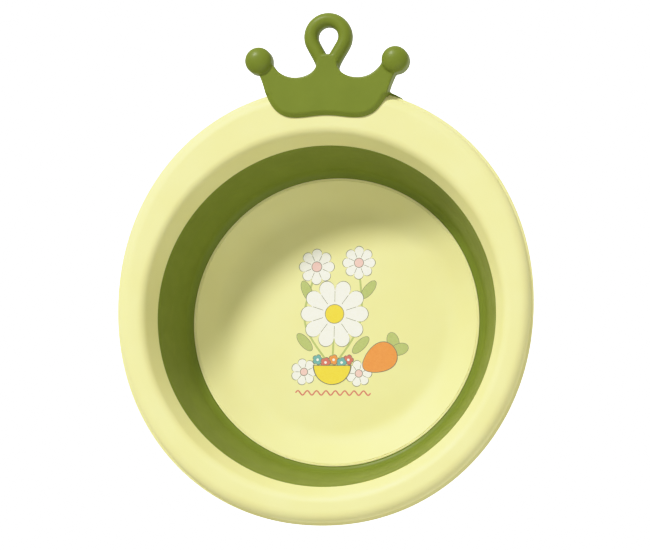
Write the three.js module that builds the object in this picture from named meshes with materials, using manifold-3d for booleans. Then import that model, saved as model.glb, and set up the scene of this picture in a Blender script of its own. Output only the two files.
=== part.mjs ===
// A folding baby basin: a rigid rim ring and a shallow rigid base joined by a soft band that folds,
// with a soft crown-shaped handle and hanging loop over the rim's upper edge.
// Millimetres, +Z up, with the crown handle along +Y. The origin is the centre of the footprint
// (the middle of the width and of the overall length) on the resting plane under the feet.
// Every shape below is drawn about the bowl's own axis, and the assembly moves it back from the
// origin by half of what the handle adds to the length.

import * as THREE from "three";
import { mergeVertices } from "three/addons/utils/BufferGeometryUtils.js";
import Module from "manifold-3d";

// ---- Driving dimensions ----

const SEGMENTS = 72; // round pieces share their facets, so gaps between them stay even
const SMALL_SEGMENTS = 32; // feet and ball tips
const GAP = 0.3; // clearance between neighbouring pieces
const SHELL = 2.4; // rigid wall thickness
const SKIN = 2.3; // soft band thickness, measured horizontally
const SMALL = 1; // overshoot of cutting tools and of pieces that are joined

// Heights
const FOOT_PROUD = 1.2; // feet stand this far below the foot ring
const FLOOR_TOP = 13.5; // inside face of the flat floor
const DISH_DEPTH = 12; // from the base's lip down to the floor
const BAND_HEIGHT = 43; // visible soft band, base lip to rim
const RIM_RISE = 16; // rim's steep inner wall
const WALL_FOOT = 0.8; // short upright edge under that wall
const SKIRT_DROP = 9.2; // flange top down to the bottom of the rim's outer lip
const LIP_Z = FLOOR_TOP + DISH_DEPTH;
const RIM_LOW_Z = LIP_Z + BAND_HEIGHT;
const RIM_TOP_Z = RIM_LOW_Z + RIM_RISE;
const SKIRT_Z = RIM_TOP_Z - SKIRT_DROP;

// Radii
const LIP_RADIUS = 106.6; // where the base meets the band
const RIM_INNER_RADIUS = 124; // where the band meets the rim
const FLANGE_INNER_RADIUS = 132.1; // corner between inner wall and flange, before rounding
const BROW_ROUND = 7.5; // rounding of that corner
const FLOOR_RADIUS = 86; // corner between floor and dish wall, before rounding
const FLOOR_ROUND = 25; // rounding of that corner
const LIP_LAND = 0.8; // the base's flat lip is this much narrower than its collar
const FOOT_RING_RADIUS = 80;

// Flange outline: a superellipse, a little longer than wide and shifted towards the handle
const RIM_HALF_WIDTH = 152;
const RIM_HALF_LENGTH = 158.9;
const RIM_SHIFT_Y = 6.7;
const RIM_POWER = 2.07;
const EDGE_WIDTH = 8; // the flange's outer rounding is a quarter ellipse this wide
const EDGE_DROP = 6.5; // and this deep
const LIP_FLARE = 2; // small outward lip below the rounding
const LIP_EDGE = 1.5; // upright face of that lip

// Soft band: the cuffs are fixed to the rigid parts, and the wall between them flips over
// The lower cuff starts with a shallow toe that carries on the slope of the base's dish.
const TOE_WIDTH = 4.3;
const TOE_RISE = 2.3;
const CUFF_HEIGHT = 6;
const LOW_HINGE_Z = LIP_Z + CUFF_HEIGHT;
const HIGH_HINGE_Z = RIM_LOW_Z - CUFF_HEIGHT;
const HINGE_STEP = 1.2; // each piece is thinned by this much at a fold line
const CUFF_STEP = 2; // height of the upper cuff's thinner edge
const COLLAR_DROP = 8.5; // rigid collar behind the lower cuff

// Feet
const FOOT_COUNT = 4;
const FOOT_RADIUS = 7.5;
const FOOT_SOCKET_DEPTH = 2;
const FOOT_EDGE = 0.5; // chamfer round the foot's sole
const BOSS_RADIUS = 9.5;

// Crown handle
const CROWN_ABOVE_RIM = 2.8;
const CROWN_BELOW_RIM = 9.5;
const CROWN_BEVEL = 1.6;
const BALL_X = 49.5;
const BALL_Y = 184;
const BALL_RADIUS = 9.5;
const BALL_DOME = 6; // dome height above the crown's top face
const LOOP_Y = 202; // centre of the hanging loop's round end
const LOOP_RADIUS = 17.2;
const LOOP_FLANK = 0.42; // angle below the horizontal where the loop's sides leave its round end
const HOLE_RADIUS = 7.3;
const HOLE_TIP_Y = 190;

// Rigid tongue of the rim inside the crown's neck
const TONGUE_HALF_WIDTH = 5;
const TONGUE_END_Y = 184;
const TONGUE_THICKNESS = 4;
const TONGUE_TOP_Z = RIM_TOP_Z - 2.8;
const TONGUE_ROOT = 4; // the tongue starts this far behind the skirt's inner face

const COLOURS = {
  cream: { color: 0xf4f0b0, roughness: 0.42, metalness: 0 },
  olive: { color: 0x80903a, roughness: 0.6, metalness: 0 },
};

const material = (name) => new THREE.MeshStandardMaterial(COLOURS[name]);
const point = (x, y) => new THREE.Vector2(x, y);

// ---- Solids ----

const manifold = await Module();
manifold.setup();

const solidFrom = (geometry) => {
  const bare = geometry.clone();
  bare.deleteAttribute("normal");
  bare.deleteAttribute("uv");
  const merged = mergeVertices(bare, 1e-4);
  const mesh = new manifold.Mesh({
    numProp: 3,
    vertProperties: merged.attributes.position.array,
    triVerts: new Uint32Array(merged.index.array),
  });
  return new manifold.Manifold(mesh);
};

const geometryFrom = (solid) => {
  const mesh = solid.getMesh();
  const geometry = new THREE.BufferGeometry();
  geometry.setAttribute("position", new THREE.BufferAttribute(mesh.vertProperties, 3));
  geometry.setIndex(new THREE.BufferAttribute(mesh.triVerts, 1));
  return geometry;
};

// Turns a closed (radius, height) outline, listed anticlockwise, about +Z.
const revolve = (outline, segments = SEGMENTS) => {
  const closed = [...outline, outline[0]];
  return new THREE.LatheGeometry(closed, segments).rotateX(Math.PI / 2);
};

// Points of the round corner of radius r at b, on the path a, b, c.
const roundCorner = (a, b, c, r, steps = 4) => {
  const back = a.clone().sub(b).normalize();
  const ahead = c.clone().sub(b).normalize();
  const half = Math.acos(back.dot(ahead)) / 2;
  const centre = b.clone().add(back.clone().add(ahead).normalize().multiplyScalar(r / Math.sin(half)));
  const start = b.clone().addScaledVector(back, r / Math.tan(half)).sub(centre);
  const end = b.clone().addScaledVector(ahead, r / Math.tan(half)).sub(centre);
  const sweep = Math.atan2(start.cross(end), start.dot(end));
  return Array.from({ length: steps + 1 }, (_, i) =>
    start.clone().rotateAround(point(0, 0), (sweep * i) / steps).add(centre));
};

// ---- Band and rim lines ----

const TOE_RADIUS = LIP_RADIUS + TOE_WIDTH;
const TOE_Z = LIP_Z + TOE_RISE;
const BAND_SLOPE = (RIM_INNER_RADIUS - TOE_RADIUS) / (RIM_LOW_Z - TOE_Z);
const bandInner = (z) => TOE_RADIUS + BAND_SLOPE * (z - TOE_Z);
const bandOuter = (z) => bandInner(z) + SKIN;
const heightWhereInner = (r) => TOE_Z + (r - TOE_RADIUS) / BAND_SLOPE;
const heightWhereOuter = (r) => heightWhereInner(r - SKIN);

const WALL_START_Z = RIM_LOW_Z + WALL_FOOT;
const WALL_GRADE = (RIM_TOP_Z - WALL_START_Z) / (FLANGE_INNER_RADIUS - RIM_INNER_RADIUS);
const WALL_DROP = SHELL * Math.hypot(1, WALL_GRADE); // shell measured straight down
const BROW_END_RADIUS = FLANGE_INNER_RADIUS + BROW_ROUND * Math.tan(Math.atan(WALL_GRADE) / 2);
const SHOULDER_RADIUS = RIM_HALF_WIDTH - LIP_FLARE - EDGE_WIDTH; // where the outer rounding starts
const RIM_COLLAR_INNER = RIM_INNER_RADIUS + SKIN + GAP;
const RIM_COLLAR_OUTER = RIM_COLLAR_INNER + SHELL - GAP;
const rimWallUnder = (r) => WALL_START_Z + WALL_GRADE * (r - RIM_INNER_RADIUS) - WALL_DROP;
const radiusWhereUnder = (z) => RIM_INNER_RADIUS + (z - WALL_START_Z + WALL_DROP) / WALL_GRADE;

// Moves a vertex from the round plan to the flange's superellipse outline.
// Nothing moves inside the flat of the flange, and its rounded edge and lip move as a whole.
const stretchToOutline = (geometry) => {
  const positions = geometry.attributes.position;
  const power = 2 / RIM_POWER;
  const signedPower = (v) => Math.sign(v) * Math.abs(v) ** power;
  for (let i = 0; i < positions.count; i += 1) {
    const x = positions.getX(i);
    const y = positions.getY(i);
    const radius = Math.hypot(x, y);
    const reach = (radius - BROW_END_RADIUS) / (SHOULDER_RADIUS - BROW_END_RADIUS);
    const share = THREE.MathUtils.clamp(reach, 0, 1);
    const cos = radius > 0 ? x / radius : 1;
    const sin = radius > 0 ? y / radius : 0;
    const outlineX = RIM_HALF_WIDTH * signedPower(cos);
    const outlineY = RIM_SHIFT_Y + RIM_HALF_LENGTH * signedPower(sin);
    positions.setX(i, x + share * (outlineX - RIM_HALF_WIDTH * cos));
    positions.setY(i, y + share * (outlineY - RIM_HALF_WIDTH * sin));
  }
  return geometry;
};

// ---- Rim ring ----

// The flange's outer edge from above, from its lip up to the flat flange: a small outward lip under
// a quarter ellipse, grown outwards by `extra`.
const rimEdge = (extra, steps = 5) => {
  const lip = RIM_HALF_WIDTH + extra;
  const centre = point(SHOULDER_RADIUS, RIM_TOP_Z - EDGE_DROP);
  const rounding = Array.from({ length: steps + 1 }, (_, i) => {
    const angle = (Math.PI / 2) * (i / steps);
    const across = (EDGE_WIDTH + extra) * Math.cos(angle);
    const up = (EDGE_DROP + extra) * Math.sin(angle);
    return point(centre.x + across, centre.y + up);
  });
  return [point(lip, SKIRT_Z + LIP_EDGE + extra), ...rounding];
};

const rimOutline = () => {
  const outer = RIM_HALF_WIDTH;
  const under = RIM_TOP_Z - SHELL;
  const wallFoot = point(RIM_INNER_RADIUS, WALL_START_Z);
  const brow = point(FLANGE_INNER_RADIUS, RIM_TOP_Z);
  const shoulder = point(SHOULDER_RADIUS, RIM_TOP_Z);
  const skirtInner = outer - LIP_FLARE - SHELL;
  const underShoulder = point(skirtInner, under);
  const underCollar = point(RIM_COLLAR_OUTER, rimWallUnder(RIM_COLLAR_OUTER));
  const underBrow = point(radiusWhereUnder(under), under);
  const skirtIn = point(skirtInner, SKIRT_Z + LIP_EDGE);
  return [
    point(RIM_INNER_RADIUS, RIM_LOW_Z),
    point(RIM_COLLAR_INNER, RIM_LOW_Z),
    point(RIM_COLLAR_INNER, HIGH_HINGE_Z + GAP),
    point(RIM_COLLAR_OUTER, HIGH_HINGE_Z + GAP),
    underCollar,
    ...roundCorner(underCollar, underBrow, underShoulder, BROW_ROUND - SHELL),
    ...roundCorner(underBrow, underShoulder, skirtIn, EDGE_DROP - SHELL, 3),
    skirtIn,
    point(outer - SHELL, SKIRT_Z),
    point(outer, SKIRT_Z),
    ...rimEdge(0),
    ...roundCorner(shoulder, brow, wallFoot, BROW_ROUND),
    wallFoot,
  ];
};

// A flat tongue with round end corners, grown all round by `extra`, reaching into the crown.
const tongueSolid = (extra) => {
  const half = TONGUE_HALF_WIDTH + extra;
  const near = RIM_SHIFT_Y + RIM_HALF_LENGTH - SHELL - TONGUE_ROOT;
  const far = TONGUE_END_Y + extra;
  const corners = [point(-half, near), point(half, near), point(half, far), point(-half, far)];
  const outline = [
    corners[0],
    corners[1],
    ...roundCorner(corners[1], corners[2], corners[3], half / 2),
    ...roundCorner(corners[2], corners[3], corners[0], half / 2),
  ];
  const shape = new THREE.Shape(outline);
  const geometry = new THREE.ExtrudeGeometry(shape, {
    depth: TONGUE_THICKNESS + 2 * extra,
    bevelEnabled: false,
  });
  geometry.translate(0, 0, TONGUE_TOP_Z - TONGUE_THICKNESS - extra);
  return solidFrom(geometry);
};

// Everything under the flange's top surface, grown by `extra`: the space the crown wraps around.
const rimEnvelope = (extra) => {
  const low = RIM_LOW_Z - RIM_RISE;
  const outline = [
    point(RIM_INNER_RADIUS, low),
    point(RIM_HALF_WIDTH + extra, low),
    ...rimEdge(extra),
    point(RIM_INNER_RADIUS, RIM_TOP_Z + extra),
  ];
  return solidFrom(stretchToOutline(revolve(outline)));
};

const rimRing = () => {
  const ring = solidFrom(stretchToOutline(revolve(rimOutline())));
  return geometryFrom(ring.add(tongueSolid(0)));
};

// ---- Crown handle ----

// Right-hand side of the crown from above, from the middle of its hem to the start of the loop's
// round end. Each row is a cubic curve's two control points and its end.
const HEM = point(0, 143.6);
const LOBE = point(22.5, 141.9);
const WAIST = point(45, 160.5);
const BALL_OUTSIDE = point(50.5, BALL_Y - BALL_RADIUS + 0.5);
const BALL_INSIDE = point(BALL_X - BALL_RADIUS + 0.3, 181.5);
const VALLEY = point(23, 171.2);
const NECK = point(7.7, 180.2);
const LOOP_START = point(LOOP_RADIUS * Math.cos(LOOP_FLANK), LOOP_Y - LOOP_RADIUS * Math.sin(LOOP_FLANK));
const CROWN_CURVES = [
  [point(9, HEM.y), point(14, LOBE.y), LOBE],
  [point(38, LOBE.y), point(WAIST.x - 0.2, 152), WAIST],
  [point(WAIST.x + 0.2, 166), point(47.5, 170), BALL_OUTSIDE],
  [point(54, 179.5), point(45.5, 187), BALL_INSIDE],
  [point(37, 176), point(31, VALLEY.y), VALLEY],
  [point(15.5, VALLEY.y), point(8.5, 175), NECK],
  [point(7.5, 184), point(LOOP_START.x - 3, LOOP_START.y - 5.5), LOOP_START],
];

// Follows the same curves backwards, mirrored to the left half.
const mirroredBack = (curves, start) => {
  const ends = [start, ...curves.map(([, , end]) => end)];
  const flip = (p) => point(-p.x, p.y);
  return curves.map(([c1, c2], i) => [flip(c2), flip(c1), flip(ends[i])]).reverse();
};

const crownShape = () => {
  const shape = new THREE.Shape();
  const follow = ([c1, c2, end]) => shape.bezierCurveTo(c1.x, c1.y, c2.x, c2.y, end.x, end.y);
  shape.moveTo(HEM.x, HEM.y);
  CROWN_CURVES.forEach(follow);
  shape.absarc(0, LOOP_Y, LOOP_RADIUS, -LOOP_FLANK, Math.PI + LOOP_FLANK, false);
  mirroredBack(CROWN_CURVES, HEM).forEach(follow);
  shape.holes.push(hangingHole());
  return shape;
};

// A teardrop: a round top, with straight sides that meet at its lower tip.
const hangingHole = () => {
  const tangent = Math.acos(HOLE_RADIUS / (LOOP_Y - HOLE_TIP_Y));
  const start = -Math.PI / 2 + tangent;
  const hole = new THREE.Path();
  hole.absarc(0, LOOP_Y, HOLE_RADIUS, start, Math.PI - start, false);
  hole.lineTo(0, HOLE_TIP_Y);
  return hole;
};

// One ball tip: an upright post under a low dome.
const ballSolid = (side) => {
  const top = RIM_TOP_Z + CROWN_ABOVE_RIM;
  const low = RIM_TOP_Z - CROWN_BELOW_RIM;
  const steps = 6;
  const dome = Array.from({ length: steps + 1 }, (_, i) => {
    const angle = (Math.PI / 2) * (i / steps);
    return point(BALL_RADIUS * Math.cos(angle), top + BALL_DOME * Math.sin(angle));
  });
  dome[steps].x = 0;
  const outline = [
    point(0, low),
    point(BALL_RADIUS - CROWN_BEVEL, low),
    point(BALL_RADIUS, low + CROWN_BEVEL),
    ...dome,
  ];
  return solidFrom(revolve(outline, SMALL_SEGMENTS).translate(side * BALL_X, BALL_Y, 0));
};

const crownHandle = () => {
  const thickness = CROWN_ABOVE_RIM + CROWN_BELOW_RIM;
  const plate = new THREE.ExtrudeGeometry(crownShape(), {
    depth: thickness - 2 * CROWN_BEVEL,
    bevelThickness: CROWN_BEVEL,
    bevelSize: CROWN_BEVEL,
    bevelOffset: -CROWN_BEVEL,
    bevelSegments: 2,
    curveSegments: 8,
  });
  plate.translate(0, 0, RIM_TOP_Z - CROWN_BELOW_RIM + CROWN_BEVEL);
  const crown = solidFrom(plate).add(ballSolid(-1)).add(ballSolid(1));
  return geometryFrom(crown.subtract(rimEnvelope(GAP)).subtract(tongueSolid(GAP)));
};

// ---- Soft band ----
// The band is one moulding. Its two fold lines split it into an upper cuff that stays with the rim,
// a wall that flips over, and a lower cuff that stays with the base.

const topCuff = () => {
  const low = HIGH_HINGE_Z + GAP / 2;
  const top = RIM_LOW_Z - GAP;
  const thinned = bandInner(HIGH_HINGE_Z) + HINGE_STEP;
  const outer = RIM_COLLAR_INNER - GAP;
  return revolve([
    point(thinned, low),
    point(bandOuter(low), low),
    point(outer, low + CUFF_STEP),
    point(outer, top),
    point(bandInner(top), top),
    point(thinned, heightWhereInner(thinned)),
  ]);
};

const foldWall = () => {
  const low = LOW_HINGE_Z + GAP / 2;
  const top = HIGH_HINGE_Z - GAP / 2;
  const innerLow = bandInner(LOW_HINGE_Z) + HINGE_STEP;
  const outerTop = bandInner(HIGH_HINGE_Z) + HINGE_STEP - GAP;
  return revolve([
    point(innerLow, low),
    point(bandOuter(low), low),
    point(outerTop, heightWhereOuter(outerTop)),
    point(outerTop, top),
    point(bandInner(top), top),
    point(innerLow, heightWhereInner(innerLow)),
  ]);
};

const bottomCuff = () => {
  const top = LOW_HINGE_Z - GAP / 2;
  const low = LIP_Z - COLLAR_DROP;
  const thinned = bandInner(LOW_HINGE_Z) + HINGE_STEP - GAP;
  const sleeve = LIP_RADIUS + SKIN;
  return revolve([
    point(LIP_RADIUS, low),
    point(sleeve, low),
    point(sleeve, LIP_Z - SKIN / 2),
    point(thinned, TOE_Z - SKIN / 2),
    point(thinned, top),
    point(bandInner(top), top),
    point(TOE_RADIUS, TOE_Z),
    point(LIP_RADIUS, LIP_Z),
  ]);
};

// ---- Base bowl ----

const baseOutline = () => {
  const floorUnder = FLOOR_TOP - SHELL;
  const collarOut = LIP_RADIUS - GAP;
  const collarIn = collarOut - SHELL;
  const collarLow = LIP_Z - COLLAR_DROP;
  const lipInner = point(collarIn + LIP_LAND, LIP_Z);
  const floorCorner = point(FLOOR_RADIUS, FLOOR_TOP);
  const grade = (lipInner.y - floorCorner.y) / (lipInner.x - floorCorner.x);
  const wallUnder = (r) => FLOOR_TOP + grade * (r - FLOOR_RADIUS) - SHELL * Math.hypot(1, grade);
  const underCorner = FLOOR_RADIUS + SMALL;
  const ringOuter = FOOT_RING_RADIUS + SHELL / 2;
  const ringInner = FOOT_RING_RADIUS - SHELL / 2;
  return [
    point(0, floorUnder),
    point(ringInner, floorUnder),
    point(ringInner, FOOT_PROUD),
    point(ringOuter, FOOT_PROUD),
    point(ringOuter, floorUnder),
    point(underCorner, wallUnder(underCorner)),
    point(collarIn, wallUnder(collarIn)),
    point(collarIn, collarLow),
    point(collarOut, collarLow),
    point(collarOut, LIP_Z),
    lipInner,
    ...roundCorner(lipInner, floorCorner, point(0, FLOOR_TOP), FLOOR_ROUND, 6),
    point(0, FLOOR_TOP),
  ];
};

// Places a turned piece on the foot ring, at the foot numbered `index`.
const atFoot = (geometry, index) => {
  const angle = ((index + 0.5) / FOOT_COUNT) * 2 * Math.PI;
  return geometry.translate(FOOT_RING_RADIUS * Math.cos(angle), FOOT_RING_RADIUS * Math.sin(angle), 0);
};

const disc = (radius, low, high) => {
  const outline = [point(0, low), point(radius, low), point(radius, high), point(0, high)];
  return revolve(outline, SMALL_SEGMENTS);
};

const baseBowl = () => {
  const bossTop = FLOOR_TOP - SHELL + SMALL;
  let base = solidFrom(revolve(baseOutline()));
  for (let i = 0; i < FOOT_COUNT; i += 1) {
    const boss = disc(BOSS_RADIUS, FOOT_PROUD, bossTop);
    const socket = disc(FOOT_RADIUS + GAP, FOOT_PROUD - SMALL, FOOT_PROUD + FOOT_SOCKET_DEPTH);
    base = base.add(solidFrom(atFoot(boss, i))).subtract(solidFrom(atFoot(socket, i)));
  }
  return geometryFrom(base);
};

const footPad = (index) => {
  const top = FOOT_PROUD + FOOT_SOCKET_DEPTH - GAP;
  const outline = [
    point(0, 0),
    point(FOOT_RADIUS - FOOT_EDGE, 0),
    point(FOOT_RADIUS, FOOT_EDGE),
    point(FOOT_RADIUS, top),
    point(0, top),
  ];
  return atFoot(revolve(outline, SMALL_SEGMENTS), index);
};

// ---- Assembly ----

const frontEdge = RIM_SHIFT_Y - RIM_HALF_LENGTH;
const loopEdge = LOOP_Y + LOOP_RADIUS;
const basin = new THREE.Group();
basin.position.y = -(frontEdge + loopEdge) / 2;

const addPiece = (name, geometry, colour) => {
  const mesh = new THREE.Mesh(geometry, material(colour));
  mesh.name = name;
  basin.add(mesh);
};

addPiece("rim_ring", rimRing(), "cream");
addPiece("crown_handle", crownHandle(), "olive");
addPiece("band_top_cuff", topCuff(), "olive");
addPiece("band_fold_wall", foldWall(), "olive");
addPiece("band_bottom_cuff", bottomCuff(), "olive");
addPiece("base_bowl", baseBowl(), "cream");
for (let i = 0; i < FOOT_COUNT; i += 1) {
  addPiece(`foot_pad_${i + 1}`, footPad(i), "olive");
}

export default basin;
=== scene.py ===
"""A folding baby wash basin: a rigid rim and base, a soft folding band and a soft crown handle.

+Z is up and the crown handle points along +Y. The frame's origin is the centre of the footprint, but
shapes are worked out in millimetres about the bowl's own axis, which is a little nearer the front.
They are moved to the frame's origin and turned into metres as each mesh is made.
"""

import math

import bpy
from mathutils import Matrix, Vector
from mathutils.kdtree import KDTree


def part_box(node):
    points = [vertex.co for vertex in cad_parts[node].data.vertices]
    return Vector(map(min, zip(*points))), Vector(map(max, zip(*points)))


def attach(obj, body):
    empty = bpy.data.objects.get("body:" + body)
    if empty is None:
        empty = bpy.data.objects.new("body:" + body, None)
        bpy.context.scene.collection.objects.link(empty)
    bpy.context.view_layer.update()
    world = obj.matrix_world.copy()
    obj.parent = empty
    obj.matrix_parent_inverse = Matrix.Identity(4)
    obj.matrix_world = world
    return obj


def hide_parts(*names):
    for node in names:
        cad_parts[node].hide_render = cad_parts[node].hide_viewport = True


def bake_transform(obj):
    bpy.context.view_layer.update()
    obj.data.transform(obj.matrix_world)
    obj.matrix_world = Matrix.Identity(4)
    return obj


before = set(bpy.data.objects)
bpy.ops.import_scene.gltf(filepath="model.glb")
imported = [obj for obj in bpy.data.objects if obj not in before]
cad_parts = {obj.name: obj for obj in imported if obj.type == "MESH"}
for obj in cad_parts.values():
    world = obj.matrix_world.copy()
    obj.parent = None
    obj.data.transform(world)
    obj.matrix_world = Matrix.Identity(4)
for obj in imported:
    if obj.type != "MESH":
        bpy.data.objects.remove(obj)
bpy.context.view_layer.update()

# ---- Units and small helpers ----

MM = 0.001
TURN = 2 * math.pi
QUARTER = math.pi / 2


def bowl_axis():
    """The foot of the bowl's axis, in the frame's metres."""
    low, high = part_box("band_fold_wall")
    return Vector(((low.x + high.x) / 2, (low.y + high.y) / 2, 0))


AXIS = bowl_axis()


def box_mm(node):
    """The node's lowest and highest corners at rest, in millimetres from the foot of the bowl's axis."""
    low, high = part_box(node)
    return (low - AXIS) / MM, (high - AXIS) / MM


def smoothstep(low, high, value):
    share = min(1.0, max(0.0, (value - low) / (high - low)))
    return share * share * (3 - 2 * share)


# ---- Sizes read from the frame ----

rim_low, rim_high = box_mm("rim_ring")
crown_low, crown_high = box_mm("crown_handle")
base_low, base_high = box_mm("base_bowl")
wall_low, wall_high = box_mm("band_fold_wall")
_, top_cuff_high = box_mm("band_top_cuff")
bottom_cuff_low, _ = box_mm("band_bottom_cuff")
FEET = [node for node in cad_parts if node.startswith("foot_pad_")]

GAP = 0.3  # clearance between neighbouring CAD pieces
SEAM = 0.03  # clearance between neighbouring finished pieces
SHELL = 2.4  # rigid wall thickness
SKIN = 2.1  # soft band thickness

RIM_TOP = rim_high.z
RIM_LOW = top_cuff_high.z + GAP  # where the band meets the rim
LIP_TOP = base_high.z  # where the base meets the band
LOW_HINGE = wall_low.z - GAP / 2
HIGH_HINGE = wall_high.z + GAP / 2
LIP_RADIUS = base_high.x
HALF_WIDTH = rim_high.x

# ---- Rim sizes ----

PLAN_SHIFT = 6.7  # the flange's outline is shifted this far towards the handle
HALF_LENGTH = PLAN_SHIFT - rim_low.y
PLAN_POWER = 2.07  # superellipse exponent of the flange's outline
RIM_INNER_RADIUS = 124.0
FLANGE_INNER_RADIUS = 132.1  # corner between the steep inner wall and the flange
BROW_ROUND = 7.5  # rounding of that corner
EDGE_WIDTH = 8.0  # the flange's outer edge rounds down over this width and height
EDGE_DROP = 6.5
SKIRT_DROP = 9.2
LIP_FLARE = 2.0  # the skirt's lip stands out this far
LIP_EDGE = 1.5
SHOULDER_RADIUS = HALF_WIDTH - LIP_FLARE - EDGE_WIDTH

# ---- Base sizes ----

FLOOR_TOP = 13.5
FLOOR_CORNER_RADIUS = 86.0
FLOOR_ROUND = 25.0  # rounding from the floor up into the dish's slope
FOOT_RING_RADIUS = 80.0
FOOT_SOCKET_DEPTH = 2.0
FOOT_RADIUS = 7.5
BOSS_RADIUS = 9.5
BEAD_WIDTH = 1.1  # narrow bead round the base's lip, next to the band
BEAD_GROOVE = 0.35  # half width and depth of the groove inside that bead

# ---- Crown sizes ----

CROWN_TOP = RIM_TOP + 2.8
CROWN_BOTTOM = crown_low.z
CROWN_UNDER_ROUND = 2.0  # rounding of the loop's and the posts' lower edges
BALL_X = 50.1
BALL_Y = 183.6
BALL_RADIUS = 9.9
LOOP_Y = 201.6
LOOP_HOLE_RADIUS = 7.3
LOOP_TUBE = 5.2  # half width of the hanging loop's strand
LOOP_MID_RADIUS = LOOP_HOLE_RADIUS + LOOP_TUBE
LOOP_FLANK = 0.48  # lean of the loop's flanks, in radians
TONGUE_HALF_WIDTH = 5.0
TONGUE_THICKNESS = 4.0
TONGUE_TOP = RIM_TOP - 2.8

SEGMENTS = 256
ON_AXIS = 1e-6  # a smaller radius than this is a point on the axis


# ---- Outlines ----

def rounded(corners, steps=6):
    """A closed outline from (x, y, radius) corners, each turned into an arc of its radius."""
    outline = []
    for index, (x, y, radius) in enumerate(corners):
        here = Vector((x, y))
        if radius == 0:
            outline.append(here)
            continue
        back = (Vector(corners[index - 1][:2]) - here).normalized()
        ahead = (Vector(corners[(index + 1) % len(corners)][:2]) - here).normalized()
        half = back.angle(ahead) / 2
        centre = here + (back + ahead).normalized() * radius / math.sin(half)
        start = here + back * radius / math.tan(half) - centre
        end = here + ahead * radius / math.tan(half) - centre
        sweep = math.atan2(start.x * end.y - start.y * end.x, start.dot(end))
        for step in range(steps + 1):
            outline.append(centre + Matrix.Rotation(sweep * step / steps, 2) @ start)
    return outline


def refined(outline, longest=1.5, closed=True):
    """The same outline with its long straight stretches split into short ones."""
    result = []
    count = len(outline)
    for index in range(count if closed else count - 1):
        here, following = outline[index], outline[(index + 1) % count]
        pieces = max(1, math.ceil((following - here).length / longest))
        result += [here.lerp(following, piece / pieces) for piece in range(pieces)]
    return result if closed else result + [outline[-1]]


def quarter_ellipse(centre, across, up, steps=12):
    """Points from the outer end (centre + across) up to the top end (centre + up)."""
    angles = [QUARTER * step / steps for step in range(steps + 1)]
    return [centre + Vector((across * math.cos(a), up * math.sin(a))) for a in angles]


def bezier(start, control_1, control_2, end, steps=16):
    """Points of a cubic curve, without its first one."""
    points = []
    for step in range(1, steps + 1):
        t = step / steps
        near = start * (1 - t) ** 3 + control_1 * 3 * t * (1 - t) ** 2
        points.append(near + control_2 * 3 * t * t * (1 - t) + end * t ** 3)
    return points


def arc(centre, radius, start, end, steps=32):
    angles = [start + (end - start) * step / steps for step in range(steps + 1)]
    return [centre + radius * Vector((math.cos(a), math.sin(a))) for a in angles]


def plain(points):
    """Corner rows with no rounding."""
    return [(p.x, p.y, 0) for p in points]


# ---- Meshes ----

def new_object(name, vertices, faces):
    """An object whose vertices are given in millimetres from the foot of the bowl's axis."""
    mesh = bpy.data.meshes.new(name)
    mesh.from_pydata([AXIS + Vector(v) * MM for v in vertices], [], faces)
    mesh.validate()
    mesh.shade_smooth()
    made = bpy.data.objects.new(name, mesh)
    bpy.context.scene.collection.objects.link(made)
    return made


def same_plan(x, y):
    return x, y


def lathe(name, outline, segments=SEGMENTS, plan=same_plan, closed=True):
    """Turns an anticlockwise (radius, height) outline about +Z; `plan` moves its points seen from above."""
    vertices, rings = [], []
    for radius, height in outline:
        if radius < ON_AXIS:
            rings.append([len(vertices)] * segments)
            vertices.append((0, 0, height))
            continue
        rings.append([len(vertices) + i for i in range(segments)])
        for i in range(segments):
            angle = TURN * i / segments
            vertices.append((*plan(radius * math.cos(angle), radius * math.sin(angle)), height))
    following = rings[1:] + rings[:1] if closed else rings[1:]
    faces = []
    for ring, upper in zip(rings, following):
        for i in range(segments):
            j = (i + 1) % segments
            corners = list(dict.fromkeys([ring[i], ring[j], upper[j], upper[i]]))
            if len(corners) > 2:
                faces.append(corners)
    return new_object(name, vertices, faces)


def loft(name, sections, ring=False):
    """Skins closed loops of 3-D points, listed in order; the ends are capped unless it is a ring."""
    size = len(sections[0])
    vertices = [point for section in sections for point in section]
    faces = []
    for row in range(len(sections) if ring else len(sections) - 1):
        near = row * size
        far = (row + 1) % len(sections) * size
        for i in range(size):
            j = (i + 1) % size
            faces.append([near + i, near + j, far + j, far + i])
    if not ring:
        last = (len(sections) - 1) * size
        faces.append(list(reversed(range(size))))
        faces.append([last + i for i in range(size)])
    return new_object(name, vertices, faces)


def prism(name, outline, low, high):
    """A flat outline, listed anticlockwise from above, made into an upright solid."""
    return loft(name, [[(x, y, low) for x, y in outline], [(x, y, high) for x, y in outline]])


def merged(name, objects):
    """One object that holds all the given meshes."""
    with bpy.context.temp_override(active_object=objects[0], selected_editable_objects=objects):
        bpy.ops.object.join()
    objects[0].name = name
    return objects[0]


def apply_modifiers(piece):
    graph = bpy.context.evaluated_depsgraph_get()
    finished = bpy.data.meshes.new_from_object(piece.evaluated_get(graph))
    piece.modifiers.clear()
    piece.data = finished


def combine(piece, tool, operation):
    """Joins the tool to the piece (UNION) or cuts it away (DIFFERENCE), and removes the tool."""
    modifier = piece.modifiers.new("combine", "BOOLEAN")
    modifier.operation = operation
    modifier.solver = "EXACT"
    modifier.object = tool
    apply_modifiers(piece)
    bpy.data.objects.remove(tool)


def soften_normals(piece, crease_degrees=40):
    """Flat faces stay flat beside small roundings, and true creases stay sharp."""
    piece.data.shade_smooth()
    piece.data.set_sharp_from_angle(angle=math.radians(crease_degrees))
    modifier = piece.modifiers.new("face_normals", "WEIGHTED_NORMAL")
    modifier.keep_sharp = True


# ---- Materials ----

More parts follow.
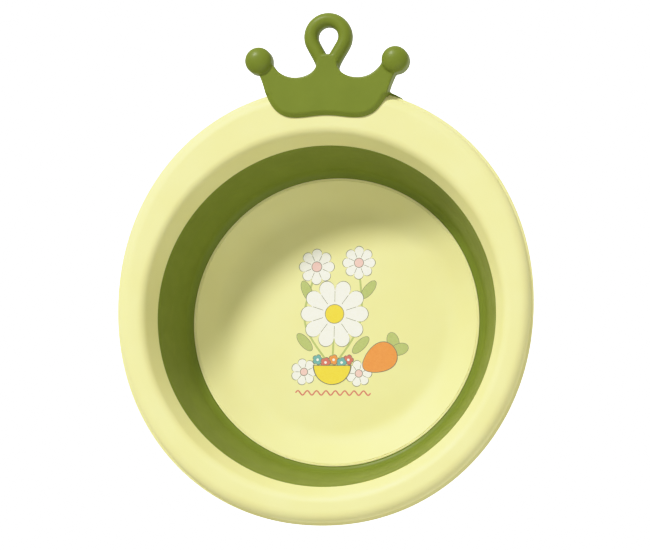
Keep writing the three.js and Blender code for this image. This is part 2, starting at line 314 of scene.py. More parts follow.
class Shader:
    """A material's node tree, with its texture coordinates in the object's own metres."""

    def __init__(self, name):
        self.material = bpy.data.materials.new(name)
        self.material.use_nodes = True
        self.tree = self.material.node_tree
        self.surface = self.tree.nodes["Principled BSDF"]
        self.place = self.add("ShaderNodeTexCoord").outputs["Object"]

    def add(self, kind, **settings):
        node = self.tree.nodes.new(kind)
        for key, value in settings.items():
            setattr(node, key, value)
        return node

    def feed(self, node, **inputs):
        """Sets or links a node's inputs; an underscore in a keyword stands for a space."""
        for key, value in inputs.items():
            socket = node.inputs[key.replace("_", " ")]
            if isinstance(value, bpy.types.NodeSocket):
                self.tree.links.new(value, socket)
            else:
                socket.default_value = value
        return node

    def noise(self, size_mm, detail=3.0, roughness=0.5):
        """Noise from 0 to 1 with features of about this size."""
        node = self.add("ShaderNodeTexNoise")
        self.feed(node, Vector=self.place, Scale=1 / (size_mm * MM), Detail=detail, Roughness=roughness)
        return node.outputs["Fac"]

    def remap(self, value, low, high, to_low, to_high):
        node = self.add("ShaderNodeMapRange", clamp=True)
        self.feed(node, Value=value, From_Min=low, From_Max=high, To_Min=to_low, To_Max=to_high)
        return node.outputs["Result"]

    def mix(self, share, first, second):
        node = self.add("ShaderNodeMix", data_type="RGBA")
        self.feed_slots(node, {0: share, 6: first, 7: second})
        return node.outputs[2]

    def feed_slots(self, node, inputs):
        for slot, value in inputs.items():
            socket = node.inputs[slot]
            if isinstance(value, bpy.types.NodeSocket):
                self.tree.links.new(value, socket)
            else:
                socket.default_value = value

    def math(self, operation, first, second):
        node = self.add("ShaderNodeMath", operation=operation)
        self.feed_slots(node, {0: first, 1: second})
        return node.outputs[0]

    def bump(self, height, strength, depth_mm, under=None):
        node = self.add("ShaderNodeBump")
        self.feed(node, Height=height, Strength=strength, Distance=depth_mm * MM)
        if under is not None:
            self.feed(node, Normal=under)
        return node.outputs["Normal"]

    def convex_edges(self, low=0.51, high=0.58):
        """0 on flat faces, up to 1 on outside edges."""
        geometry = self.add("ShaderNodeNewGeometry")
        return self.remap(geometry.outputs["Pointiness"], low, high, 0, 1)


def linear(red, green, blue):
    """A colour given in 0-255 display values, as the linear values that nodes take."""
    def channel(value):
        share = value / 255
        return share / 12.92 if share <= 0.04045 else ((share + 0.055) / 1.055) ** 2.4
    return channel(red), channel(green), channel(blue), 1.0


def moulded_plastic(name, colour, deep, worn):
    """Satin injection-moulded polypropylene: faint orange peel, cloudy tint and rubbed edges."""
    shader = Shader(name)
    cloud = shader.remap(shader.noise(38, detail=2), 0.35, 0.65, 0, 1)
    speck = shader.remap(shader.noise(1.4, detail=4, roughness=0.65), 0.6, 0.8, 0, 0.25)
    tint = shader.mix(cloud, colour, deep)
    tint = shader.mix(speck, tint, deep)
    patches = shader.remap(shader.noise(6), 0.4, 0.7, 0.1, 0.6)
    rubbed = shader.math("MULTIPLY", shader.convex_edges(), patches)
    tint = shader.mix(rubbed, tint, worn)
    gloss = shader.remap(shader.noise(22, detail=5), 0.3, 0.7, 0.48, 0.58)
    gloss = shader.math("ADD", gloss, shader.math("MULTIPLY", rubbed, 0.15))
    peel = shader.bump(shader.noise(2.6, detail=1), 0.25, 0.03)
    grain = shader.bump(shader.noise(0.35, detail=2), 0.3, 0.012, under=peel)
    shader.feed(
        shader.surface,
        Base_Color=tint,
        Roughness=gloss,
        Normal=grain,
        IOR=1.49,
        Specular_IOR_Level=0.4,
        Subsurface_Weight=0.06,
        Subsurface_Radius=(1.0, 0.8, 0.35),
        Subsurface_Scale=1.2 * MM,
    )
    return shader.material


def soft_rubber(name, colour, deep, worn):
    """Soft moulded elastomer: fine grain, a faint bloom, slightly polished edges and a thin smooth skin."""
    shader = Shader(name)
    cloud = shader.remap(shader.noise(24, detail=3), 0.35, 0.65, 0, 1)
    tint = shader.mix(cloud, colour, deep)
    bloom = shader.remap(shader.noise(5, detail=5, roughness=0.7), 0.5, 0.8, 0, 0.1)
    tint = shader.mix(bloom, tint, worn)
    rubbed = shader.math("MULTIPLY", shader.convex_edges(), 0.35)
    tint = shader.mix(rubbed, tint, worn)
    matte = shader.remap(shader.noise(12, detail=4), 0.3, 0.7, 0.44, 0.52)
    matte = shader.math("SUBTRACT", matte, shader.math("MULTIPLY", rubbed, 0.1))
    skin = shader.bump(shader.noise(1.8, detail=2), 0.2, 0.04)
    grain = shader.bump(shader.noise(0.28, detail=3, roughness=0.6), 0.5, 0.02, under=skin)
    shader.feed(
        shader.surface,
        Base_Color=tint,
        Roughness=matte,
        Normal=grain,
        IOR=1.45,
        Specular_IOR_Level=0.2,
        Coat_Weight=0.2,
        Coat_Roughness=0.3,
        Coat_IOR=1.45,
    )
    return shader.material


def printing_ink(name, colour, deep):
    """A thin, slightly uneven coat of pad-printing ink."""
    shader = Shader(name)
    mottle = shader.remap(shader.noise(1.1, detail=4), 0.35, 0.75, 0, 1)
    tint = shader.mix(mottle, colour, deep)
    gloss = shader.remap(shader.noise(4, detail=3), 0.3, 0.7, 0.34, 0.5)
    film = shader.bump(shader.noise(0.5, detail=2), 0.25, 0.01)
    shader.feed(shader.surface, Base_Color=tint, Roughness=gloss, Normal=film, Specular_IOR_Level=0.4)
    return shader.material


def finish(piece, material):
    """Gives the piece its material."""
    piece.data.materials.clear()
    piece.data.materials.append(material)


CREAM = moulded_plastic(
    "cream_plastic",
    colour=linear(245, 241, 178),
    deep=linear(243, 238, 171),
    worn=linear(250, 247, 203),
)
OLIVE = soft_rubber(
    "olive_rubber",
    colour=linear(123, 138, 44),
    deep=linear(119, 134, 41),
    worn=linear(143, 157, 72),
)


# ---- Rim ----

WALL_START = RIM_LOW + 0.8  # short upright edge under the steep inner wall
WALL_GRADE = (RIM_TOP - WALL_START) / (FLANGE_INNER_RADIUS - RIM_INNER_RADIUS)
BROW_END_RADIUS = FLANGE_INNER_RADIUS + BROW_ROUND * math.tan(math.atan(WALL_GRADE) / 2)
COLLAR_INNER = top_cuff_high.x + GAP
COLLAR_OUTER = COLLAR_INNER + SHELL - GAP
SKIRT_Z = RIM_TOP - SKIRT_DROP


def oval_plan(x, y):
    """Moves a point of the round plan to the flange's outline, growing from its inner edge outwards."""
    radius = math.hypot(x, y)
    share = min(1.0, max(0.0, (radius - BROW_END_RADIUS) / (SHOULDER_RADIUS - BROW_END_RADIUS)))
    if share == 0:
        return x, y
    cosine, sine = x / radius, y / radius
    outline_x = HALF_WIDTH * math.copysign(abs(cosine) ** (2 / PLAN_POWER), cosine)
    outline_y = PLAN_SHIFT + HALF_LENGTH * math.copysign(abs(sine) ** (2 / PLAN_POWER), sine)
    return x + share * (outline_x - HALF_WIDTH * cosine), y + share * (outline_y - HALF_WIDTH * sine)


def rim_edge(extra=0.0):
    """Corner rows of the flange's outer edge, from its lip up to the flat flange, grown by `extra`."""
    centre = Vector((SHOULDER_RADIUS, RIM_TOP - EDGE_DROP))
    lip = HALF_WIDTH + extra
    rounding = quarter_ellipse(centre, EDGE_WIDTH + extra, EDGE_DROP + extra)
    return [(lip, SKIRT_Z + LIP_EDGE + extra, 0.5)] + plain(rounding)


def rim_outline():
    under = RIM_TOP - SHELL
    wall_drop = SHELL * math.hypot(1, WALL_GRADE)
    wall_under = WALL_START + WALL_GRADE * (COLLAR_OUTER - RIM_INNER_RADIUS) - wall_drop
    under_brow = RIM_INNER_RADIUS + (under - WALL_START + wall_drop) / WALL_GRADE
    skirt_inner = HALF_WIDTH - LIP_FLARE - SHELL
    collar_low = rim_low.z
    corners = [
        (RIM_INNER_RADIUS, RIM_LOW, 0.3),
        (COLLAR_INNER, RIM_LOW, 0.2),
        (COLLAR_INNER, collar_low, 0.4),
        (COLLAR_OUTER, collar_low, 0.5),
        (COLLAR_OUTER, wall_under, 1.2),
        (under_brow, under, BROW_ROUND - SHELL),
        (skirt_inner, under, EDGE_DROP - SHELL),
        (skirt_inner, SKIRT_Z + LIP_EDGE, 0.5),
        (HALF_WIDTH - SHELL, SKIRT_Z, 0.4),
        (HALF_WIDTH, SKIRT_Z, 0.6),
        *rim_edge(),
        (FLANGE_INNER_RADIUS, RIM_TOP, BROW_ROUND),
        (RIM_INNER_RADIUS, WALL_START, 0.5),
    ]
    return refined(rounded(corners))


def tongue(extra=0.0):
    """The flat tongue that reaches into the crown's neck, grown all round by `extra`."""
    half = TONGUE_HALF_WIDTH + extra
    near = PLAN_SHIFT + HALF_LENGTH - 2 * SHELL
    far = rim_high.y + extra
    outline = rounded([(-half, near, 0), (half, near, 0), (half, far, half / 2), (-half, far, half / 2)])
    return prism("tongue", outline, TONGUE_TOP - TONGUE_THICKNESS - extra, TONGUE_TOP + extra)


def build_rim():
    rim = lathe("rim_shell", rim_outline(), plan=oval_plan)
    combine(rim, tongue(), "UNION")
    soften_normals(rim)
    finish(rim, CREAM)
    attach(rim, "rim")
    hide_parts("rim_ring")


# ---- Base ----

def base_outline():
    under = FLOOR_TOP - SHELL
    collar_out = LIP_RADIUS
    collar_in = collar_out - SHELL
    lip = Vector((LIP_RADIUS - 2 * BEAD_GROOVE - BEAD_WIDTH, LIP_TOP))
    floor_corner = Vector((FLOOR_CORNER_RADIUS, FLOOR_TOP))
    grade = (lip.y - floor_corner.y) / (lip.x - floor_corner.x)
    collar_low = bottom_cuff_low.z

    def wall_under(radius):
        return FLOOR_TOP + grade * (radius - FLOOR_CORNER_RADIUS) - SHELL * math.hypot(1, grade)

    ring_inner = FOOT_RING_RADIUS - SHELL / 2
    ring_outer = FOOT_RING_RADIUS + SHELL / 2
    corners = [
        (0, under, 0),
        (ring_inner, under, 0.8),
        (ring_inner, base_low.z, 0.5),
        (ring_outer, base_low.z, 0.5),
        (ring_outer, under, 0.8),
        (FLOOR_CORNER_RADIUS + 1, wall_under(FLOOR_CORNER_RADIUS + 1), 1.5),
        (collar_in, wall_under(collar_in), 0.8),
        (collar_in, collar_low, 0.5),
        (collar_out, collar_low, 0.5),
        (collar_out, LIP_TOP, 0.1),
        (lip.x + 2 * BEAD_GROOVE, LIP_TOP, 0.15),
        (lip.x + BEAD_GROOVE, LIP_TOP - BEAD_GROOVE, 0.1),
        (lip.x, lip.y, 0.3),
        (floor_corner.x, floor_corner.y, FLOOR_ROUND),
        (0, FLOOR_TOP, 0),
    ]
    return refined(rounded(corners), longest=3)


def foot_centres():
    for node in FEET:
        low, high = box_mm(node)
        yield node, (low.x + high.x) / 2, (low.y + high.y) / 2, high.z


def at_feet(name, outline, segments=64):
    """Copies of a turned solid, one on each foot's axis, as one object."""
    copies = []
    for _, x, y, _ in foot_centres():
        copy = lathe(name, outline, segments)
        copy.data.transform(Matrix.Translation((x * MM, y * MM, 0)))
        copies.append(copy)
    return merged(name, copies)


def disc(radius, low, high, round_low=0, round_high=0):
    corners = [(0, low, 0), (radius, low, round_low), (radius, high, round_high), (0, high, 0)]
    return rounded(corners)


def build_base():
    base = lathe("base_dish", base_outline())
    boss_top = FLOOR_TOP - SHELL / 2
    combine(base, at_feet("bosses", disc(BOSS_RADIUS, base_low.z, boss_top, round_low=0.5)), "UNION")
    socket_top = base_low.z + FOOT_SOCKET_DEPTH
    combine(base, at_feet("sockets", disc(FOOT_RADIUS + GAP, base_low.z - 1, socket_top)), "DIFFERENCE")
    soften_normals(base)
    finish(base, CREAM)
    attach(base, "base")
    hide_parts("base_bowl")


# ---- Feet ----

TREAD_RINGS = 3
TREAD_PITCH = 1.9
TREAD_DEPTH = 0.35
TREAD_MOUTH = 0.35  # half width of a groove at the sole
TREAD_FLOOR = 0.2  # half width of a groove at its floor


def foot_outline(top):
    """A soft round pad with shallow grooves in rings underneath."""
    corners = [(0, 0, 0)]
    for ring in range(1, TREAD_RINGS + 1):
        groove = ring * TREAD_PITCH
        corners += [
            (groove - TREAD_MOUTH, 0, 0.1),
            (groove - TREAD_FLOOR, TREAD_DEPTH, 0.1),
            (groove + TREAD_FLOOR, TREAD_DEPTH, 0.1),
            (groove + TREAD_MOUTH, 0, 0.1),
        ]
    corners += [(FOOT_RADIUS, 0, 0.6), (FOOT_RADIUS, top, 0.2), (0, top, 0)]
    return refined(rounded(corners, steps=4), longest=1)


def build_feet():
    for node, x, y, top in foot_centres():
        pad = lathe(f"{node}_soft", foot_outline(top), segments=96)
        pad.data.transform(Matrix.Translation((x * MM, y * MM, 0)))
        soften_normals(pad)
        finish(pad, OLIVE)
        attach(pad, "base")
        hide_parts(node)


# ---- Soft band ----

BAND_THICKEST = 2.6
HINGE_SKIN = 1.0
HINGE_CORE = 0.3  # half height of the fold line where it is thinnest
HINGE_REACH = 1.6  # half height of the whole thinned fold line
THICKER_FROM = HIGH_HINGE + 1.5  # the band thickens to its collar between these heights
THICKER_TO = HIGH_HINGE + 3
BAND_FOOT = LIP_RADIUS + SEAM
TOE_WIDTH = 4.3  # nearly level step beside the base's lip
TOE_RISE = 1.3
WALL_BOW_X = 11.8  # where the wall turns steeper, from the band's foot
WALL_BOW_Z = 22


def band_inner_line():
    """The band's inner face from its hidden foot up to the rim, as (radius, height) points."""
    corners = [
        (BAND_FOOT, bottom_cuff_low.z, 0),
        (BAND_FOOT, LIP_TOP - 0.1, 0.1),
        (BAND_FOOT + TOE_WIDTH, LIP_TOP + TOE_RISE, 7),
        (BAND_FOOT + WALL_BOW_X, LIP_TOP + WALL_BOW_Z, 60),
        (RIM_INNER_RADIUS - 1.2, RIM_LOW - 3.0, 2),
        (RIM_INNER_RADIUS + 0.2, RIM_LOW - SEAM, 0),
    ]
    return refined(rounded(corners, steps=12), longest=0.8, closed=False)


def band_thickness(height):
    """Thin at the two fold lines, and thicker where the band is moulded onto the rim's collar."""
    skin = SKIN + (BAND_THICKEST - SKIN) * smoothstep(THICKER_FROM, THICKER_TO, height)
    for hinge in (LOW_HINGE, HIGH_HINGE):
        near = 1 - smoothstep(HINGE_CORE, HINGE_REACH, abs(height - hinge))
        skin -= (skin - HINGE_SKIN) * near
    return skin


def build_band():
    """Turns the band's middle line, which a Solidify modifier makes into a skin of its thickness.

    Points nearer to the inner line than half the thickness belong to a loop inside the foot's sharp
    corner, and are left out.
    """
    inner = band_inner_line()
    kept_share = 0.97
    middle, shares = [], []
    for index, here in enumerate(inner):
        along = (inner[min(index + 1, len(inner) - 1)] - inner[max(index - 1, 0)]).normalized()
        outwards = Vector((along.y, -along.x))
        thickness = band_thickness(here.y)
        inside = here + outwards * thickness / 2
        if min((inside - other).length for other in inner) > kept_share * thickness / 2:
            middle.append(inside)
            shares.append(thickness / BAND_THICKEST)
    band = lathe("soft_band", middle, closed=False)
    group = band.vertex_groups.new(name="thickness")
    for ring, share in enumerate(shares):
        group.add(range(ring * SEGMENTS, (ring + 1) * SEGMENTS), share, "REPLACE")
    finish(band, OLIVE)
    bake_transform(band)
    shell = band.modifiers.new("skin", "SOLIDIFY")
    shell.thickness = BAND_THICKEST * MM
    shell.offset = 0
    shell.vertex_group = group.name
    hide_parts("band_top_cuff", "band_fold_wall", "band_bottom_cuff")


# ---- Crown handle ----

HEM = Vector((0, 143.6))
NECK_TIP = Vector((0, 188.4))
HEM_LIFT = 0.4  # share of the crown's height above the flange that is left along its hem
HEM_TAPER = 3.6  # width of the slope up from the hem
TAIL_START = 0.16  # radians from the crown's middle
TAIL_REACH = 0.2
TAIL_THICKNESS = 3.6
TAIL_ROOT = 4  # the tail reaches this far into the rim before it is cut to it
CROWN_CLEARANCE = 0.1  # between the crown and the rim inside it


def crown_half():
    """The crown's right half from above, from the middle of its hem to the tip of its neck."""
    lobe = Vector((22.5, 141.9))
    waist = Vector((45, 160.5))
    ball_outside = Vector((50.5, 175))
    ball_inside = Vector((40.3, 181.5))
    valley = Vector((23, 171.2))
    neck = Vector((7.7, 180.2))
    rows = [
        (Vector((9, HEM.y)), Vector((14, lobe.y)), lobe),
        (Vector((36, lobe.y)), Vector((41, 151)), waist),
        (Vector((46.2, 165.5)), Vector((48.2, 170.5)), ball_outside),
        (Vector((54, 179.5)), Vector((45.5, 187)), ball_inside),
        (Vector((37, 176)), Vector((31, valley.y)), valley),
        (Vector((15.5, valley.y)), Vector((8.5, 175)), neck),
        (Vector((7.3, 185)), Vector((3.5, NECK_TIP.y)), NECK_TIP),
    ]
    points = [HEM]
    for control_1, control_2, end in rows:
        points += bezier(points[-1], control_1, control_2, end)
    return points


def crown_plate():
    right = crown_half()
    left = [Vector((-p.x, p.y)) for p in reversed(right[1:-1])]
    return prism("crown_plate", right + left, CROWN_BOTTOM, CROWN_TOP)


def loop_path():
    """The middle line of the hanging loop's strand, from inside the neck round to inside the neck."""
    centre = Vector((0, LOOP_Y))
    turn = arc(centre, LOOP_MID_RADIUS, -LOOP_FLANK, math.pi + LOOP_FLANK, steps=48)
    foot = Vector((2.6, 176))
    first = turn[0]
    lean = Vector((-math.sin(LOOP_FLANK), -math.cos(LOOP_FLANK)))
    side = [foot] + bezier(foot, Vector((2.6, 183)), first + lean * 7, first, steps=16)
    mirrored = [Vector((-p.x, p.y)) for p in reversed(side)]
    return side[:-1] + turn + mirrored[1:]


def strand_section():
    """The strand's (across, height) outline: a domed top over upright sides."""
    top = quarter_ellipse(Vector((0, CROWN_TOP - LOOP_TUBE)), LOOP_TUBE, LOOP_TUBE, steps=8)
    under = Vector((0, CROWN_BOTTOM + CROWN_UNDER_ROUND))
    foot = quarter_ellipse(under, LOOP_TUBE, -CROWN_UNDER_ROUND, steps=5)
    right = list(reversed(foot)) + top
    left = [Vector((-p.x, p.y)) for p in reversed(right[1:-1])]
    return right + left


def crown_loop():
    path = loop_path()
    sections = []
    for index, here in enumerate(path):
        along = (path[min(index + 1, len(path) - 1)] - path[max(index - 1, 0)]).normalized()
        across = Vector((along.y, -along.x))
        places = [(here + across * u, z) for u, z in strand_section()]
        sections.append([(flat.x, flat.y, z) for flat, z in places])
    return loft("crown_loop", sections)


def crown_ball(side):
    """An upright post under a dome."""
    dome = crown_high.z - CROWN_TOP
    top = quarter_ellipse(Vector((0, CROWN_TOP)), BALL_RADIUS, dome)
    under = Vector((0, CROWN_BOTTOM + CROWN_UNDER_ROUND))
    foot = quarter_ellipse(under, BALL_RADIUS, -CROWN_UNDER_ROUND, steps=8)
    ball = lathe("crown_ball", list(reversed(foot)) + top, segments=96)
    ball.data.transform(Matrix.Translation((side * BALL_X * MM, BALL_Y * MM, 0)))
    return ball


def crown_tail(steps=32):
    """A low strip of the crown that runs out along the rim's outer lip and tapers away."""
    low = CROWN_BOTTOM - 0.5
    high = SKIRT_Z + LIP_EDGE
    inner = HALF_WIDTH - TAIL_ROOT
    sections = []
    for step in range(steps + 1):
        share = step / steps
        angle = QUARTER - TAIL_START - TAIL_REACH * share
        outer = HALF_WIDTH + TAIL_THICKNESS * math.sqrt(1 - share)
        corners = [(inner, low), (outer, low), (outer, high), (inner, high)]
        flat = [oval_plan(radius * math.cos(angle), radius * math.sin(angle)) for radius, _ in corners]
        sections.insert(0, [(x, y, z) for (x, y), (_, z) in zip(flat, corners)])
    return loft("crown_tail", sections)


def taper_to_hem(crown):
    """Brings the crown's top face down to a thin edge along its hem, where it lies on the flange."""
    edge = [point for point in crown_half() if point.y < PLAN_SHIFT + HALF_LENGTH - EDGE_WIDTH]
    hem = edge + [Vector((-point.x, point.y)) for point in edge]
    tree = KDTree(len(hem))
    for index, point in enumerate(hem):
        tree.insert((point.x, point.y, 0), index)
    tree.balance()
    for vertex in crown.data.vertices:
        place = (vertex.co - AXIS) / MM
        if place.z > RIM_TOP:
            _, _, distance = tree.find((place.x, place.y, 0))
            share = HEM_LIFT + (1 - HEM_LIFT) * smoothstep(0, HEM_TAPER, distance)
            vertex.co.z = (RIM_TOP + (place.z - RIM_TOP) * share) * MM


def rim_envelope(extra):
    """Everything under the flange's top face, grown by `extra`: the space that the crown wraps around."""
    low = RIM_LOW - SHELL
    corners = [(RIM_INNER_RADIUS, low, 0), (HALF_WIDTH + extra, low, 0), *rim_edge(extra)]
    corners.append((RIM_INNER_RADIUS, RIM_TOP + extra, 0))
    return lathe("rim_envelope", rounded(corners), plan=oval_plan)


def build_crown():
    """One soft solid: its parts joined by voxels, smoothed, thinned to the hem and cut to the rim."""
    parts = [crown_plate(), crown_loop(), crown_ball(-1), crown_ball(1), crown_tail()]
    crown = merged("crown_soft", parts)
    voxels = crown.modifiers.new("union", "REMESH")
    voxels.mode = "VOXEL"
    voxels.voxel_size = 0.55 * MM
    rounding = crown.modifiers.new("rounding", "SMOOTH")
    rounding.factor = 0.5
    rounding.iterations = 14
    apply_modifiers(crown)
    taper_to_hem(crown)
    combine(crown, rim_envelope(CROWN_CLEARANCE), "DIFFERENCE")
    combine(crown, tongue(CROWN_CLEARANCE), "DIFFERENCE")
    soften_normals(crown)
    finish(crown, OLIVE)
    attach(crown, "rim")
    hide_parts("crown_handle")


# ---- Printed picture on the floor ----

FILM = 0.008  # thickness of one coat of ink
INK_ROOT = 0.02  # the ink soaks this far into the floor
LINE = 0.45  # width of the grey outlines
LEAST_DRAWN_PETALS = 6  # smaller flowers have no lines between their petals


def ellipse(centre, half_length, half_width, lean=0.0, steps=40):
    turn = Matrix.Rotation(lean, 2)
    angles = [TURN * step / steps for step in range(steps)]
    return [centre + turn @ Vector((half_length * math.cos(a), half_width * math.sin(a))) for a in angles]


def daisy(centre, radius, petals, notch=0.3, steps=14):
    """A flower's outline, with `notch` the depth of its gaps as a share of the radius."""
    outline = []
    for step in range(petals * steps):
        angle = TURN * step / (petals * steps)
        bulge = abs(math.cos(petals * angle / 2)) ** 0.5
        reach = radius * (1 - notch * (1 - bulge))
        outline.append(centre + reach * Vector((math.cos(angle), math.sin(angle))))
    return outline


def carrot(centre, length, width, lean, steps=48):
    """An egg-shaped root, blunt towards its leaves."""
    turn = Matrix.Rotation(lean, 2)
    outline = []
    for step in range(steps):
        angle = TURN * step / steps
        half = width * (1 + 0.28 * math.cos(angle))
        outline.append(centre + turn @ Vector((length * math.cos(angle), half * math.sin(angle))))
    return outline


def ribbon(path, width):
    """A stroke of even width along the path."""
    left, right = [], []
    for index, here in enumerate(path):
        along = (path[min(index + 1, len(path) - 1)] - path[max(index - 1, 0)]).normalized()
        across = Vector((along.y, -along.x)) * width / 2
        right.append(here + across)
        left.append(here - across)
    return right + left[::-1]


INKS = {
    "grey": (linear(122, 126, 110), linear(112, 116, 100)),
    "white": (linear(254, 253, 249), linear(248, 247, 240)),
    "pink": (linear(250, 212, 208), linear(246, 204, 200)),
    "orange": (linear(246, 163, 84), linear(240, 154, 76)),
    "leaf": (linear(196, 206, 132), linear(186, 198, 120)),
    "yellow": (linear(250, 226, 78), linear(246, 220, 66)),
    "teal": (linear(126, 190, 188), linear(116, 180, 178)),
    "red": (linear(222, 128, 112), linear(214, 118, 104)),
}


class Print:
    """The printed picture, as thin solids collected by the colour of their ink.

    Strokes that overlap have different coats, so that the later one lies on top.
    """

    def __init__(self):
        self.strokes = {colour: [] for colour in INKS}

    def ink(self, colour, outline, coat):
        stroke = prism("stroke", outline, FLOOR_TOP - INK_ROOT, FLOOR_TOP + FILM * coat)
        self.strokes[colour].append(stroke)

    def flower(self, x, y, radius, petals, colour, heart, coat):
        """A flower with a grey outline, grey lines between its petals and a round heart."""
        centre = Vector((x, y))
        heart_radius = 0.27 * radius
        self.ink("grey", daisy(centre, radius + LINE, petals), coat)
        self.ink(colour, daisy(centre, radius, petals), coat + 1)
        if radius > LEAST_DRAWN_PETALS:
            for petal in range(petals):
                angle = TURN * (petal + 0.5) / petals
                along = Vector((math.cos(angle), math.sin(angle))) * radius
                fold = [centre + along * 0.36, centre + along * 0.68]
                self.ink("grey", ribbon(fold, LINE * 0.8), coat + 2)
            self.ink("grey", ellipse(centre, heart_radius + LINE, heart_radius + LINE), coat + 3)
        self.ink(heart, ellipse(centre, heart_radius, heart_radius), coat + 4)

    def leaf(self, x, y, length, width, lean, coat):
        self.ink("grey", ellipse(Vector((x, y)), length + LINE * 0.7, width + LINE * 0.7, lean), coat)
        self.ink("leaf", ellipse(Vector((x, y)), length, width, lean), coat + 1)

    def stem(self, start, bend, end):
        self.ink("leaf", ribbon([start] + bezier(start, bend, bend, end), 1.5), 1)

    def finish(self):
        for colour, strokes in self.strokes.items():
            layer = merged(f"print_{colour}", strokes)
            soften_normals(layer)
            finish(layer, printing_ink(f"ink_{colour}", *INKS[colour]))
            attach(layer, "base")


def build_print():
    """A yellow bowl of daisies beside a carrot, over a wavy line."""
    picture = Print()
    root = Vector((-4, -33))
    for x, y, bend_x in ((-17, 40, -30), (14, 44, 20), (-3, 8, -3)):
        picture.stem(root, Vector((bend_x, 0)), Vector((x, y)))
    for x, y, lean in ((-25, -14, 2.3), (17, -16, 0.8), (-24, 24, 2.0), (22, 25, 0.9)):
        picture.leaf(x, y, 8, 3.4, lean, coat=2)
    picture.flower(-17, 42, 13, 8, "white", "pink", coat=4)
    picture.flower(14.5, 45, 12, 8, "white", "pink", coat=4)
    picture.flower(-3, 7, 25, 10, "white", "yellow", coat=9)
    picture.flower(-25, -36, 9.5, 7, "white", "pink", coat=9)
    picture.flower(16, -37, 9.5, 7, "white", "pink", coat=9)
    posies = ((-15, "teal"), (-9, "red"), (-3, "orange"), (3, "teal"), (8, "red"))
    for index, (x, colour) in enumerate(posies):
        lower = index % 2
        picture.flower(x, -27 - 2 * lower, 3.6, 5, colour, "white", coat=14 + 5 * lower)

    bowl = Vector((-4, -31))
    picture.ink("grey", arc(bowl, 14 + LINE, math.pi, TURN), 24)
    picture.ink("yellow", arc(bowl + Vector((0, -LINE)), 14 - LINE, math.pi, TURN), 25)

    picture.leaf(41, -13, 6.5, 4.2, 1.9, coat=2)
    picture.leaf(46, -19, 6.5, 4.2, 0.3, coat=4)
    body = Vector((31, -26))
    picture.ink("grey", carrot(body, 13.5 + LINE, 10 + LINE, 0.55), 14)
    picture.ink("orange", carrot(body, 13.5, 10, 0.55), 15)

    wave = []
    for step in range(121):
        wave.append(Vector((-31 + 56 * step / 120, -51.5 + 1.6 * math.sin(TURN * step / 15))))
    picture.ink("red", ribbon(wave, 1.0), 1)
    picture.finish()


# ---- Stage, light and camera ----

KNEE = 0.8  # scene brightness up to which colours are shown as they are
WHITE_POINT = 2.0  # scene brightness that is shown as white
SURROUND = (WHITE_POINT, WHITE_POINT, WHITE_POINT, 1)
ROOM = (0.44, 0.435, 0.35, 1)  # light from all round, above the floor
FLOOR_BOUNCE = (0.85, 0.84, 0.78, 1)  # light that comes back up from the white floor
HORIZON_BLUR = 0.1
FLOOR_HALF = 6.0  # half of the floor's width, in metres


def set_view():
    """Keeps colours as they are up to the knee, and rolls highlights off gently above it."""
    view = bpy.context.scene.view_settings
    view.view_transform = "Standard"
    view.use_curve_mapping = True
    mapping = view.curve_mapping
    mapping.white_level = SURROUND[:3]
    curve = mapping.curves[3]
    steps = 16
    for step in range(1, steps):
        level = WHITE_POINT * step / steps
        room = 1 - KNEE
        shown = level if level < KNEE else KNEE + room * (1 - math.exp((KNEE - level) / room))
        curve.points.new(level / WHITE_POINT, shown)
    mapping.update()


def build_floor():
    """A white floor for the camera above it; light, and the camera below it, pass through.

    What it would send back up comes from the world's lower half.
    """
    half = FLOOR_HALF / MM
    corners = [(-half, -half, 0), (half, -half, 0), (half, half, 0), (-half, half, 0)]
    floor = new_object("floor", corners, [[0, 1, 2, 3]])
    shader = Shader("studio_floor")
    ray = shader.add("ShaderNodeLightPath")
    side = shader.add("ShaderNodeNewGeometry")
    seen = shader.math("SUBTRACT", ray.outputs["Is Camera Ray"], side.outputs["Backfacing"])
    glow = shader.feed(shader.add("ShaderNodeEmission"), Color=SURROUND, Strength=1.0)
    clear = shader.add("ShaderNodeBsdfTransparent")
    blend = shader.add("ShaderNodeMixShader")
    shader.feed_slots(blend, {0: seen, 1: clear.outputs[0], 2: glow.outputs[0]})
    shader.feed(shader.tree.nodes["Material Output"], Surface=blend.outputs[0])
    floor.data.materials.append(shader.material)


def sun(name, energy, azimuth, elevation, size):
    """A sun lamp that shines from the given direction, all angles in degrees."""
    azimuth, elevation = math.radians(azimuth), math.radians(elevation)
    across = math.cos(elevation)
    towards = Vector((math.cos(azimuth) * across, math.sin(azimuth) * across, math.sin(elevation)))
    lamp = bpy.data.lights.new(name, "SUN")
    lamp.energy = energy
    lamp.angle = math.radians(size)
    placed = bpy.data.objects.new(name, lamp)
    placed.rotation_euler = towards.to_track_quat("Z", "Y").to_euler()
    bpy.context.scene.collection.objects.link(placed)


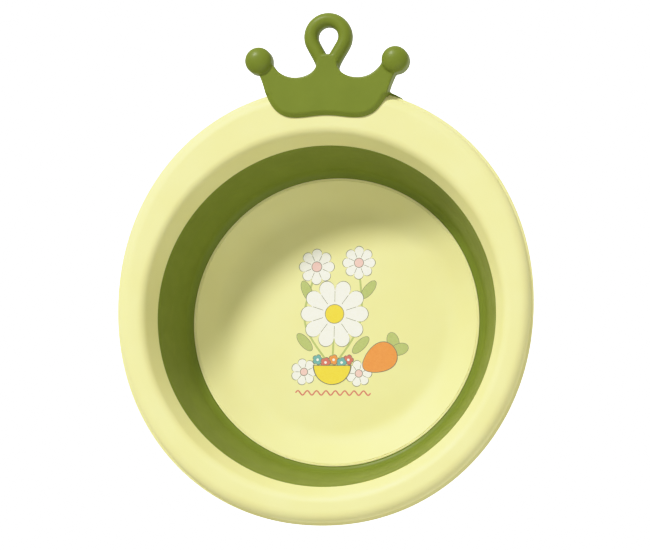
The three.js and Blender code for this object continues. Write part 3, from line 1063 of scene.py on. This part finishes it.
def build_light():
    """A soft key from the far left and a weak broad fill opposite."""
    sun("key", 2.35, azimuth=122, elevation=42, size=10)
    sun("fill", 0.5, azimuth=302, elevation=34, size=60)


def build_world():
    """Even light from above and the floor's bounce from below, which the camera sees as plain white."""
    world = bpy.data.worlds.new("surround")
    world.use_nodes = True
    bpy.context.scene.world = world
    nodes = world.node_tree.nodes
    link = world.node_tree.links.new

    direction = nodes.new("ShaderNodeSeparateXYZ")
    link(nodes.new("ShaderNodeTexCoord").outputs["Generated"], direction.inputs[0])
    above = nodes.new("ShaderNodeMapRange")
    above.inputs["From Min"].default_value = -HORIZON_BLUR
    above.inputs["From Max"].default_value = HORIZON_BLUR
    link(direction.outputs["Z"], above.inputs["Value"])
    light = nodes.new("ShaderNodeMix")
    seen = nodes.new("ShaderNodeMix")
    for mix in (light, seen):
        mix.data_type = "RGBA"
    light.inputs[6].default_value = FLOOR_BOUNCE
    light.inputs[7].default_value = ROOM
    link(above.outputs["Result"], light.inputs[0])
    seen.inputs[7].default_value = SURROUND
    link(light.outputs[2], seen.inputs[6])
    link(nodes.new("ShaderNodeLightPath").outputs["Is Camera Ray"], seen.inputs[0])
    link(seen.outputs[2], nodes["Background"].inputs["Color"])


def build_camera():
    """A long lens nearly straight above the basin, leaning a little to the right and to the front."""
    lean = Vector((math.radians(6.79), math.radians(10.02), 0))
    roll = math.radians(0.6)
    target = AXIS + Vector((0, 0, RIM_LOW)) * MM
    back = Vector((-0.4, 29.1, 2526)) * MM  # from the target, along the camera's own axes
    turn = Matrix.Rotation(lean.length, 4, lean) @ Matrix.Rotation(roll, 4, "Z")
    data = bpy.data.cameras.new("camera")
    data.sensor_width = 36
    data.lens = 193.8
    data.clip_end = 100
    camera = bpy.data.objects.new("camera", data)
    camera.matrix_world = Matrix.Translation(target + turn.to_3x3() @ back) @ turn
    bpy.context.scene.collection.objects.link(camera)
    bpy.context.scene.camera = camera


build_rim()
build_base()
build_feet()
build_band()
build_crown()
build_print()
build_floor()
build_light()
build_world()
build_camera()
set_view()
